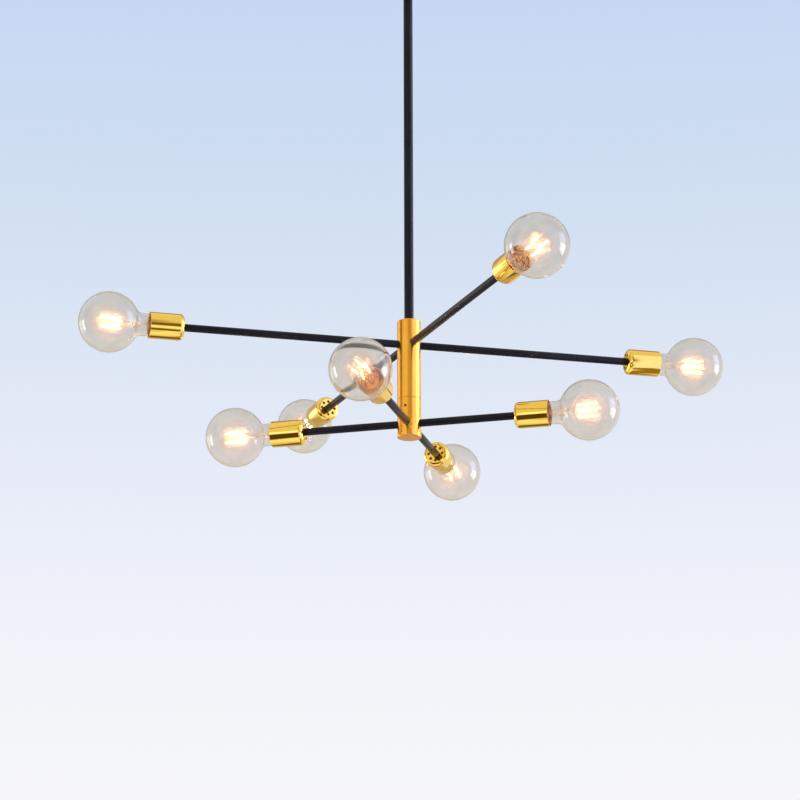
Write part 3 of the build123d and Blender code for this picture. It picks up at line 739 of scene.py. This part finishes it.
class CHANDELIER_OT_light_bars(bpy.types.Operator):
    """Set the glowing bars on their nickel wires inside every globe"""

    bl_idname = "chandelier.light_bars"
    bl_label = "Light bars"

    def rod(self, name, start, end, diameter, rounding):
        """A rod between two points, its ends rounded by a share of its diameter."""
        deselect()
        span = end - start
        bpy.ops.mesh.primitive_cylinder_add(vertices=WIRE_STEPS, radius=diameter / 2, depth=span.length)
        piece = bpy.context.object
        piece.name = name
        half = span.length / 2
        bpy.ops.object.mode_set(mode="EDIT")
        bpy.ops.mesh.select_mode(type="EDGE")
        bpy.ops.mesh.select_all(action="DESELECT")
        leave_edit()
        points = piece.data.vertices
        for edge in piece.data.edges:
            first, second = (points[i].co.z for i in edge.vertices)
            edge.select = abs(first - second) < half
        bpy.ops.object.mode_set(mode="EDIT")
        bpy.ops.mesh.bevel(offset=rounding * diameter, segments=4, profile=0.5)
        leave_edit()
        turn = span.to_track_quat("Z", "Y").to_matrix().to_4x4()
        piece.matrix_world = Matrix.Translation((start + end) / 2) @ turn
        set_down(piece)
        return piece

    def ring_of(self, piece, count):
        """Repeat a piece evenly round the lamp's axis."""
        edit(piece, lambda place: True)
        for _ in range(count - 1):
            bpy.ops.mesh.duplicate()
            bpy.ops.transform.rotate(
                value=math.tau / count, orient_axis="X", orient_type="GLOBAL", center_override=(0, 0, 0)
            )
        leave_edit()
        clean(piece)

    def execute(self, context):
        s = context.scene.bulb_sizes

        def place(along, radius, turn):
            return Vector((along, radius * math.cos(turn), radius * math.sin(turn)))

        sunk, rise, lead_length = 2 * MM, 1.5 * MM, 2.6 * MM
        wire, sleeve = s.wire_diameter, 1.4 * s.wire_diameter
        wire_radius = s.post_diameter / 2 + wire
        foot = place(-s.bar_foot, s.bar_foot_radius, 0)
        tip = place(s.bar_tip, s.bar_tip_radius, s.bar_twist)
        lead = (tip - foot).normalized() * lead_length
        root = place(-s.stem_face - sunk, wire_radius, 0)
        crown = place(s.bar_tip + rise, wire_radius, s.bar_twist)
        bar = self.rod("bar", foot, tip, s.bar_diameter, 0.4)
        self.ring_of(bar, s.bar_count)
        dress(bar, "glowing phosphor")
        spans = (
            (root, foot - lead, wire),
            (foot - lead, foot + lead / 2, sleeve),
            (tip - lead / 2, tip + lead, sleeve),
            (tip + lead, crown, wire),
        )
        wires = joined(*[self.rod("wire", *span, 0.3) for span in spans])
        self.ring_of(wires, s.bar_count)
        dress(wires, "nickel")
        hang(bar, "light_bars", "{tier}_bulb_filaments_{number}", globe_centre)
        hang(wires, "bar_wires", "{tier}_bulb_filaments_{number}", globe_centre)
        return {"FINISHED"}


class CHANDELIER_OT_screw_caps(bpy.types.Operator):
    """Roll the threaded caps of the bulbs, with their glass ends and contact buttons"""

    bl_idname = "chandelier.screw_caps"
    bl_label = "Screw caps"

    sheet = 0.6 * MM

    def thread(self, low, s):
        """A helical ridge that runs out into the shell at both ends."""
        steps = 12
        depth = s.crest_radius - s.root_radius
        sunk = s.root_radius - 0.05 * MM
        wave = [math.sin(math.pi * i / steps) ** 2 for i in range(steps + 1)]
        ridge = drawn("thread", [(low + s.pitch * i / steps, sunk + depth * w) for i, w in enumerate(wave)])
        bpy.ops.mesh.screw(steps=FINE_STEPS, turns=s.turns, center=(0, 0, 0), axis=(1, 0, 0))
        leave_edit()
        clean(ridge)
        start, end = (f([v.co.x for v in ridge.data.vertices]) for f in (min, max))
        for vertex in ridge.data.vertices:
            radius = math.hypot(vertex.co.y, vertex.co.z)
            inside = min(vertex.co.x - start, end - vertex.co.x) / s.pitch
            fade = min(1.0, max(0.0, inside - 0.5))
            scale = (sunk + (radius - sunk) * fade) / radius
            vertex.co.y *= scale
            vertex.co.z *= scale
        return ridge

    def cement(self, top, s, b):
        """The brown cement that holds the glass tail in the cap and closes the space behind it."""
        gap, face, layer = 0.02 * MM, top - 0.2 * MM, 1.5 * MM
        outer = s.root_radius - self.sheet - gap
        inner = b.tail_diameter / 2 + gap
        front = top - b.tail - 0.1 * MM
        back = front - layer
        outline = [(face, inner), (face, outer), (back, outer), (back, 0), (front, 0), (front, inner), (face, inner)]
        return turned("cement", outline)

    def execute(self, context):
        s = context.scene.cap_sizes
        b = context.scene.bulb_sizes
        sheet, lip, foot, hem, sunk, dome = self.sheet, 0.4 * MM, 2 * MM, 3 * MM, 0.2 * MM, 1.2 * MM
        root, top = s.root_radius, cap_top(b)
        bottom = top - s.shell
        outline = [(top, root - sheet), *arc((top - lip, root), lip, 0, 90, 4), (bottom + foot, root)]
        outline += arc((bottom + foot, root - foot), foot, 90, 180, 6)[1:]
        outline += [(bottom, root - hem), (bottom + sheet, root - hem), (bottom + sheet, root - sheet), outline[0]]
        cap = joined(turned("shell", outline), self.thread(bottom + foot + sunk, s))
        give(cap, "nickel")
        end_rim, button_rim = root - foot - sunk, s.button_radius + 1 * MM
        button_top = bottom - s.insulator
        button_end = button_top - s.button
        outline = [(bottom, 0), (bottom, end_rim)]
        outline += arc((bottom, button_rim), end_rim - button_rim, 90, 170, 8)[1:]
        end = turned("cap end", outline + [(button_top, s.button_radius), (button_top, 0)])
        give(end, "black glass")
        outline = [(button_top + sunk, 0), (button_top + sunk, s.button_radius - sunk)]
        outline += arc((button_end + dome, s.button_radius - sunk - dome), dome, 90, 180, 6)
        button = turned("button", outline + [(button_end, 0)])
        give(button, "nickel")
        cement = self.cement(top, s, b)
        give(cement, "cement")
        cap = joined(cap, end, button, cement)
        smooth(cap)
        hang(cap, "screw_cap", "{tier}_bulb_cap_{number}", globe_centre)
        return {"FINISHED"}


class CHANDELIER_OT_cups(bpy.types.Operator):
    """Spin the gold lamp cups, drill their vents and put one on every arm"""

    bl_idname = "chandelier.cups"
    bl_label = "Lamp cups"

    def execute(self, context):
        s = context.scene.cup_sizes
        outer = s.diameter / 2
        inner = outer - s.wall
        flat = outer - s.back_edge
        rim = s.wall / 2
        outline = [(0, s.arm_hole / 2)]
        outline += arc((s.back_edge, flat), s.back_edge, 180, 90, 14)
        outline += arc((s.length - rim, outer - rim), rim, 90, -90, 10)
        outline += arc((s.back_edge, flat), s.back_edge - s.wall, 90, 180, 10)
        outline += [(s.wall, s.arm_hole / 2), outline[0]]
        cup = turned("cup", outline, CUP_STEPS)
        turns = [math.tau * i / s.vent_count for i in range(s.vent_count)]
        circle = s.vent_circle / 2
        spots = [((s.wall / 2, circle * math.cos(t), circle * math.sin(t)), (1, 0, 0)) for t in turns]
        drilled(cup, s.vent_diameter, 4 * s.wall, spots)
        give(cup, "cup gold")
        cup.data.materials.append(finish("cup inside"))
        reach = inner + s.wall / 10
        edit(cup, lambda place: place.x > s.back_edge and math.hypot(place.y, place.z) < reach)
        cup.active_material_index = 1
        bpy.ops.object.material_slot_assign()
        leave_edit()
        smooth(cup)
        hang(cup, "lamp_cup", "{tier}_cup_{number}", cup_back)
        return {"FINISHED"}


class CHANDELIER_OT_lampholders(bpy.types.Operator):
    """Mould the brown lampholders and put one in every cup"""

    bl_idname = "chandelier.lampholders"
    bl_label = "Lampholders"

    def execute(self, context):
        s = context.scene.holder_sizes
        f = context.scene.frame_sizes
        outer, bore, rim = s.diameter / 2, s.bore / 2, s.rim
        fit, thread_length = 0.05 * MM, 8 * MM
        thread = f.arm_thread / 2 + fit
        thread_end = s.back + thread_length
        outline = [(s.back, thread)]
        outline += arc((s.back + rim, outer - rim), rim, 180, 90, 6)
        outline += arc((s.front - rim, outer - rim), rim, 90, 0, 6)
        outline += arc((s.front - rim, bore + rim), rim, 0, -90, 6)
        outline += [(s.floor, bore), (s.floor, s.lead_hole / 2)]
        outline += [(thread_end, s.lead_hole / 2), (thread_end, thread), outline[0]]
        holder = turned("holder", outline)
        dress(holder, "lampholder")
        hang(holder, "lampholder", "{tier}_lampholders", cup_back)
        return {"FINISHED"}


class CHANDELIER_OT_arms(bpy.types.Operator):
    """Turn the black arms with their threaded ends"""

    bl_idname = "chandelier.arms"
    bl_label = "Arms"

    def execute(self, context):
        s = context.scene.frame_sizes
        tube, thread, bore, edge = s.arm_diameter / 2, s.arm_thread / 2, s.arm_bore / 2, s.arm_edge
        for tier in TIERS:
            lamp = next(lamp for lamp in LAMPS if lamp.tier == tier)
            outline = [(lamp.arm_root, bore), (lamp.arm_root, thread), (s.arm_seat, thread)]
            outline += arc((s.arm_seat + edge, tube - edge), edge, 180, 90, 3)
            outline += arc((lamp.cup_back - edge, tube - edge), edge, 90, 0, 3)
            outline += [(lamp.cup_back, thread), (lamp.arm_tip, thread), (lamp.arm_tip, bore), outline[0]]
            arm = turned("arm", outline)
            dress(arm, "black paint")
            hang(arm, "arm_tube", "{tier}_arm_{number}", hub_axis, tiers=(tier,))
        return {"FINISHED"}


class CHANDELIER_OT_hub(bpy.types.Operator):
    """Turn the two gold sleeves of the hub and drill them for the arms and the swivel's screws"""

    bl_idname = "chandelier.hub"
    bl_label = "Hub"

    def sleeve(self, tier, hole, s):
        """A sleeve drawn from the seam to its end, with rings by the arms so that their holes have short faces."""
        low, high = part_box(f"hub_{tier}_sleeve")
        seam, end, way = (low.z, high.z, 1) if tier == "upper" else (high.z, low.z, -1)
        outer, bevel, edge = high.x, s.hub_seam_edge, s.hub_edge
        inner, inside = outer - s.hub_wall, end - way * s.hub_end_wall
        lamps = [lamp for lamp in LAMPS if lamp.tier == tier]
        level = lamps[0].level
        near, far = level - way * s.arm_hole, level + way * s.arm_hole
        outline = [(seam, inner), (seam, outer - bevel), (seam + way * bevel, outer), (near, outer), (far, outer)]
        outline += arc((end - way * edge, outer - edge), edge, 90, 90 - way * 90, 8)
        outline += [(end, hole), (inside, hole), (inside, inner), (far, inner), (near, inner), outline[0]]
        sleeve = upright(f"hub_sleeve_{tier}", outline, WIDE_STEPS)
        drilled(sleeve, s.arm_hole, 4 * s.hub_wall, spokes(outer, level, [lamp.azimuth for lamp in lamps]))
        return sleeve

    def drill_screws(self, sleeve, s):
        low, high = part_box("swivel_screws")
        turns = [s.swivel_screw_azimuth + math.tau * i / s.swivel_screw_count for i in range(s.swivel_screw_count)]
        spots = spokes(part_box("hub_lower_sleeve")[1].x, (low.z + high.z) / 2, turns)
        drilled(sleeve, s.swivel_screw_hole, 4 * s.hub_wall, spots)

    def execute(self, context):
        s = context.scene.frame_sizes
        upper = self.sleeve("upper", s.nipple_hole / 2, s)
        lower = self.sleeve("lower", 0, s)
        self.drill_screws(lower, s)
        for sleeve, node in ((upper, "hub_upper_sleeve"), (lower, "hub_lower_sleeve")):
            dress(sleeve, "hub gold")
            settle(sleeve, node)
        return {"FINISHED"}


class CHANDELIER_OT_down_rod(bpy.types.Operator):
    """Turn the two black tubes of the down rod"""

    bl_idname = "chandelier.down_rod"
    bl_label = "Down rod"

    def execute(self, context):
        s = context.scene.frame_sizes
        for word in TIERS:
            node = f"down_rod_{word}"
            low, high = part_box(node)
            bore, edge = s.rod_bore / 2, s.rod_edge
            outline = [(low.z, bore)]
            outline += arc((low.z + edge, high.x - edge), edge, 180, 90, 3)
            outline += arc((high.z - edge, high.x - edge), edge, 90, 0, 3)
            outline += [(high.z, bore), outline[0]]
            rod = upright(f"rod_tube_{word}", outline)
            dress(rod, "black paint")
            settle(rod, node)
        return {"FINISHED"}


class CHANDELIER_OT_canopy(bpy.types.Operator):
    """Spin the black canopy against the ceiling, and make its side screws"""

    bl_idname = "chandelier.canopy"
    bl_label = "Canopy"

    def cover(self, s):
        low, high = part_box("canopy")
        outer, wall, edge = high.x, s.canopy_wall, s.canopy_edge
        hole = s.nipple_hole / 2
        corner = (low.z + edge, outer - edge)
        outline = [(high.z, outer - wall)]
        outline += arc((high.z - wall / 2, outer - wall / 2), wall / 2, 0, 90, 4)
        outline += arc(corner, edge, 90, 180, 12)
        outline += [(low.z, hole), (low.z + wall, hole)]
        outline += arc(corner, edge - wall, 180, 90, 10)
        outline += [outline[0]]
        cover = upright("ceiling_canopy", outline, WIDE_STEPS)
        drilled(cover, s.canopy_screw_hole, 6 * wall, spokes(outer, -s.canopy_screw_depth, (0, math.pi)))
        dress(cover, "black paint")
        settle(cover, "canopy")

    def screw(self, name, turn):
        """A pan head screw with a cross recess, pointing at the rod."""
        low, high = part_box("canopy_screws")
        tip, head = high.x, (high.z - low.z) / 2
        thread, point, edge, dome = 2 * MM, 0.6 * MM, 0.2 * MM, 1.6 * MM
        seat = tip - 2.6 * MM
        end = seat - 8 * MM
        outline = [(end, 0), (end, thread - 0.5 * MM), (end + point, thread), (seat, thread)]
        outline += [(seat, head - edge), (seat + edge, head)]
        outline += arc((tip - dome, head - dome), dome, 90, 0, 6)
        outline += [(tip, 0)]
        screw = turned(name, outline, FINE_STEPS)
        for size in ((3 * MM, 1 * MM, 4 * MM), (3 * MM, 4 * MM, 1 * MM)):
            deselect()
            bpy.ops.mesh.primitive_cube_add(size=1, location=(tip, 0, 0), scale=size)
            cut(screw, bpy.context.object)
        screw.matrix_world = Matrix.Translation((0, 0, (low.z + high.z) / 2)) @ Matrix.Rotation(turn, 4, "Z")
        set_down(screw)
        dress(screw, "zinc")
        settle(screw, "canopy_screws")

    def execute(self, context):
        self.cover(context.scene.frame_sizes)
        self.screw("canopy_screw_1", 0)
        self.screw("canopy_screw_2", math.pi)
        return {"FINISHED"}


class CHANDELIER_OT_carried_pieces(bpy.types.Operator):
    """Give the inner pieces, which keep their CAD shape, their finishes"""

    bl_idname = "chandelier.carried_pieces"
    bl_label = "Inner pieces"

    finishes_by_slot = {
        "zinc_steel": "zinc",
        "black_steel": "blackened steel",
        "cast_aluminium": "aluminium",
        "lead_sheath": "lead sheath",
        "contact_brass": "brass",
    }

    def execute(self, context):
        for name, slot in SLOTS.items():
            if slot in self.finishes_by_slot:
                give(CAD_NODES[name], self.finishes_by_slot[slot])
        return {"FINISHED"}


class CHANDELIER_OT_studio(bpy.types.Operator):
    """Set up the camera, the floor, the sky and the soft lights"""

    bl_idname = "chandelier.studio"
    bl_label = "Studio"

    # Sine of the height above the horizon, and the colour of the sky there
    sky = (
        (0.0, (250, 250, 250)),
        (0.15, (247, 247, 249)),
        (0.23, (238, 241, 250)),
        (0.3, (225, 232, 246)),
        (0.37, (208, 223, 241)),
        (0.44, (200, 216, 243)),
        (0.62, (250, 250, 250)),
    )

    # Bright and dark patches of the room that only polished surfaces mirror: the shade, then the azimuth
    # and height of the middle, the half width, the half height and the softness of the edges, in degrees
    pale_room = (0.93, 0.92, 0.9)
    patches = (
        ("window strip, left of the front", (1.6, 1.7, 2.2), 240, -5, 30, 7, 2),
        ("dark floor, left of the front", (0.1, 0.065, 0.03), 236, -36, 32, 20, 3),
        ("bright floor, left", (1.1, 1.25, 1.6), 190, -68, 45, 9, 3),
        ("bright wall, right of the front", (1.1, 1.35, 2.7), 323, -4, 22, 54, 3),
        ("dark wall, front", (0.2, 0.14, 0.07), 288, 1, 12, 13, 3),
        ("bright floor, front", (1.15, 1.3, 1.6), 290, -25, 12, 9, 3),
        ("dark floor, front", (0.2, 0.14, 0.07), 290, -47, 14, 9, 3),
        ("bright floor, right of the front", (1.1, 1.25, 1.6), 306, -66, 12, 9, 3),
        ("dark floor, right", (0.35, 0.25, 0.1), 20, -62, 57, 10, 4),
        ("bright floor, below", (1.1, 1.25, 1.6), 0, -90, 200, 15, 3),
        ("dark floor, back", (0.2, 0.14, 0.07), 92, -46, 17, 16, 4),
        ("dark ceiling, back", (0.4, 0.3, 0.16), 92, 42, 32, 20, 4),
        ("dim wall, left of the back", (0.55, 0.48, 0.32), 108, 0, 25, 32, 4),
        ("dim floor, back", (0.62, 0.52, 0.4), 86, -19, 18, 9, 5),
        ("window, left of the back", (2.4, 2.4, 2.4), 142, 3, 9, 10, 3),
        ("dim front", (0.55, 0.5, 0.42), 274, 22, 17, 13, 8),
        ("dark doorway, left", (0.22, 0.15, 0.09), 187, 16, 12, 20, 5),
        ("glow, right", (1.7, 1.65, 2.8), 350, 14, 30, 26, 16),
        ("softbox top, right", (4.8, 5.0, 7.2), 5, 20, 15, 10, 6),
        ("softbox, right", (9.5, 9.5, 10.0), 9, -3, 14, 11, 4),
        ("softbox, left", (8.0, 8.0, 8.0), 164, -2, 7, 12, 3),
    )

    # The place, width and height, and power of each softbox, all turned towards the hub
    softboxes = {
        "right softbox": ((2.4, 0.35, -0.65), (0.8, 1.6), 40),
        "left softbox": ((-2.2, 0.9, -0.5), (0.5, 1.4), 20),
        "top softbox": ((0.0, -0.6, 1.6), (2.4, 2.4), 30),
    }
    lit_place = (0, 0, -0.7)
    floor_size = 60
    sensor_width = 36
    farthest = 200

    def faded(self, tree, offset, half, soft):
        """1 within half a width of the middle, running out to 0 over a soft edge."""
        distance = reckon(tree, "ABSOLUTE", offset)
        return mapped(tree, distance, math.radians(half - soft), math.radians(half + soft), 1.0, 0.0, "SMOOTHSTEP")

    def light(self, tree, shade, strength=1.0):
        return add(tree, "ShaderNodeBackground", {"Color": shade, "Strength": strength}).outputs["Background"]

    def make_room(self, tree, place, height):
        """What polished surfaces mirror."""
        room = self.light(tree, (*self.pale_room, 1))
        rise = reckon(tree, "ARCSINE", height)
        for name, shade, azimuth, middle, half_width, half_height, soft in self.patches:
            turn = {"Vector": place, "Angle": -math.radians(azimuth)}
            facing = add(tree, "ShaderNodeVectorRotate", turn, rotation_type="Z_AXIS", name=name)
            sides = add(tree, "ShaderNodeSeparateXYZ", {"Vector": facing.outputs["Vector"]}).outputs
            across = self.faded(tree, reckon(tree, "ARCTAN2", sides["Y"], sides["X"]), half_width, soft)
            up = reckon(tree, "SUBTRACT", rise, math.radians(middle))
            share = reckon(tree, "MULTIPLY", across, self.faded(tree, up, half_height, soft))
            room = over(tree, share, room, self.light(tree, (*shade, 1)))
        return room

    def make_sky(self, settings):
        world = bpy.data.worlds.new("sky")
        bpy.context.scene.world = world
        world.use_nodes = True
        tree = world.node_tree
        place = add(tree, "ShaderNodeTexCoord").outputs["Generated"]
        height = add(tree, "ShaderNodeSeparateXYZ", {"Vector": place}).outputs["Z"]
        ramp = add(tree, "ShaderNodeValToRGB", {"Fac": height})
        stops = ramp.color_ramp.elements
        while len(stops) < len(self.sky):
            stops.new(0.5)
        for stop, (position, shown) in zip(stops, self.sky):
            stop.position = position
            stop.color = (*srgb(*shown), 1)
        path = add(tree, "ShaderNodeLightPath").outputs
        straight = reckon(tree, "MAXIMUM", path["Is Camera Ray"], path["Is Transmission Ray"])
        lit = self.light(tree, (1, 1, 1, 1), settings.sky_light)
        seen = over(tree, straight, lit, self.light(tree, ramp.outputs["Color"]))
        mirrored = reckon(tree, "SUBTRACT", path["Is Glossy Ray"], path["Is Transmission Ray"])
        whole = over(tree, mirrored, seen, self.make_room(tree, place, height))
        tree.links.new(whole, tree.nodes["World Output"].inputs["Surface"])

    def make_floor(self, settings):
        """A pale floor that is clear from below, so that it hides nothing from a low camera."""
        deselect()
        bpy.ops.mesh.primitive_plane_add(size=self.floor_size, location=(0, 0, settings.floor_level))
        floor = bpy.context.object
        floor.name = "floor"
        material, tree, shader = new_finish("pale floor", roughness=0.9)
        place = add(tree, "ShaderNodeTexCoord").outputs["Object"]
        mottle = noise(tree, place, 0.8)
        tree.links.new(blended(tree, mottle, (0.9, 0.9, 0.9), (0.93, 0.93, 0.93)), shader.inputs["Base Color"])
        below = add(tree, "ShaderNodeNewGeometry").outputs["Backfacing"]
        clear = add(tree, "ShaderNodeBsdfTransparent").outputs["BSDF"]
        surface = over(tree, below, shader.outputs["BSDF"], clear)
        tree.links.new(surface, tree.nodes["Material Output"].inputs["Surface"])
        floor.data.materials.append(material)
        floor.visible_glossy = False

    def make_softbox(self, name, place, size, power):
        data = bpy.data.lights.new(name, "AREA")
        data.shape = "RECTANGLE"
        data.size, data.size_y = size
        data.energy = power
        lamp = bpy.data.objects.new(name, data)
        bpy.context.scene.collection.objects.link(lamp)
        lamp.location = place
        lamp.rotation_euler = (Vector(self.lit_place) - Vector(place)).to_track_quat("-Z", "Y").to_euler()
        lamp.visible_camera = lamp.visible_transmission = lamp.visible_glossy = False

    def make_camera(self, settings):
        data = bpy.data.cameras.new("camera")
        data.lens = settings.lens
        data.sensor_width = self.sensor_width
        data.clip_end = self.farthest
        camera = bpy.data.objects.new("camera", data)
        bpy.context.scene.collection.objects.link(camera)
        camera.location = settings.camera_place
        yaw = Matrix.Rotation(-settings.camera_yaw, 4, "Z")
        pitch = Matrix.Rotation(math.pi / 2 + settings.camera_pitch, 4, "X")
        roll = Matrix.Rotation(settings.camera_roll, 4, "Z")
        camera.rotation_euler = (yaw @ pitch @ roll).to_euler()
        bpy.context.scene.camera = camera

    def execute(self, context):
        settings = context.scene.studio
        context.scene.view_settings.view_transform = "Standard"
        self.make_sky(settings)
        self.make_floor(settings)
        for name, (place, size, power) in self.softboxes.items():
            self.make_softbox(name, place, size, power)
        self.make_camera(settings)
        return {"FINISHED"}


STEPS = (
    CHANDELIER_OT_globes,
    CHANDELIER_OT_stems,
    CHANDELIER_OT_light_bars,
    CHANDELIER_OT_screw_caps,
    CHANDELIER_OT_cups,
    CHANDELIER_OT_lampholders,
    CHANDELIER_OT_arms,
    CHANDELIER_OT_hub,
    CHANDELIER_OT_down_rod,
    CHANDELIER_OT_canopy,
    CHANDELIER_OT_carried_pieces,
    CHANDELIER_OT_studio,
)


class CHANDELIER_PT_panel(bpy.types.Panel):
    """The chandelier's steps, in the order that they are made"""

    bl_idname = "CHANDELIER_PT_panel"
    bl_label = "Chandelier"
    bl_space_type = "VIEW_3D"
    bl_region_type = "UI"
    bl_category = "Chandelier"

    def draw(self, context):
        for step in STEPS:
            self.layout.operator(step.bl_idname)


SETTINGS = {
    "bulb_sizes": BulbSizes,
    "cap_sizes": CapSizes,
    "cup_sizes": CupSizes,
    "holder_sizes": HolderSizes,
    "frame_sizes": FrameSizes,
    "finishes": Finishes,
    "studio": Studio,
}


def register():
    for name, group in SETTINGS.items():
        bpy.utils.register_class(group)
        setattr(bpy.types.Scene, name, PointerProperty(type=group))
    for step in STEPS:
        bpy.utils.register_class(step)
    bpy.utils.register_class(CHANDELIER_PT_panel)


def unregister():
    bpy.utils.unregister_class(CHANDELIER_PT_panel)
    for step in reversed(STEPS):
        bpy.utils.unregister_class(step)
    for name, group in SETTINGS.items():
        delattr(bpy.types.Scene, name)
        bpy.utils.unregister_class(group)


def main():
    register()
    bpy.ops.chandelier.globes()
    bpy.ops.chandelier.stems()
    bpy.ops.chandelier.light_bars()
    bpy.ops.chandelier.screw_caps()
    bpy.ops.chandelier.cups()
    bpy.ops.chandelier.lampholders()
    bpy.ops.chandelier.arms()
    bpy.ops.chandelier.hub()
    bpy.ops.chandelier.down_rod()
    bpy.ops.chandelier.canopy()
    bpy.ops.chandelier.carried_pieces()
    bpy.ops.chandelier.studio()


if __name__ == "__main__":
    main()
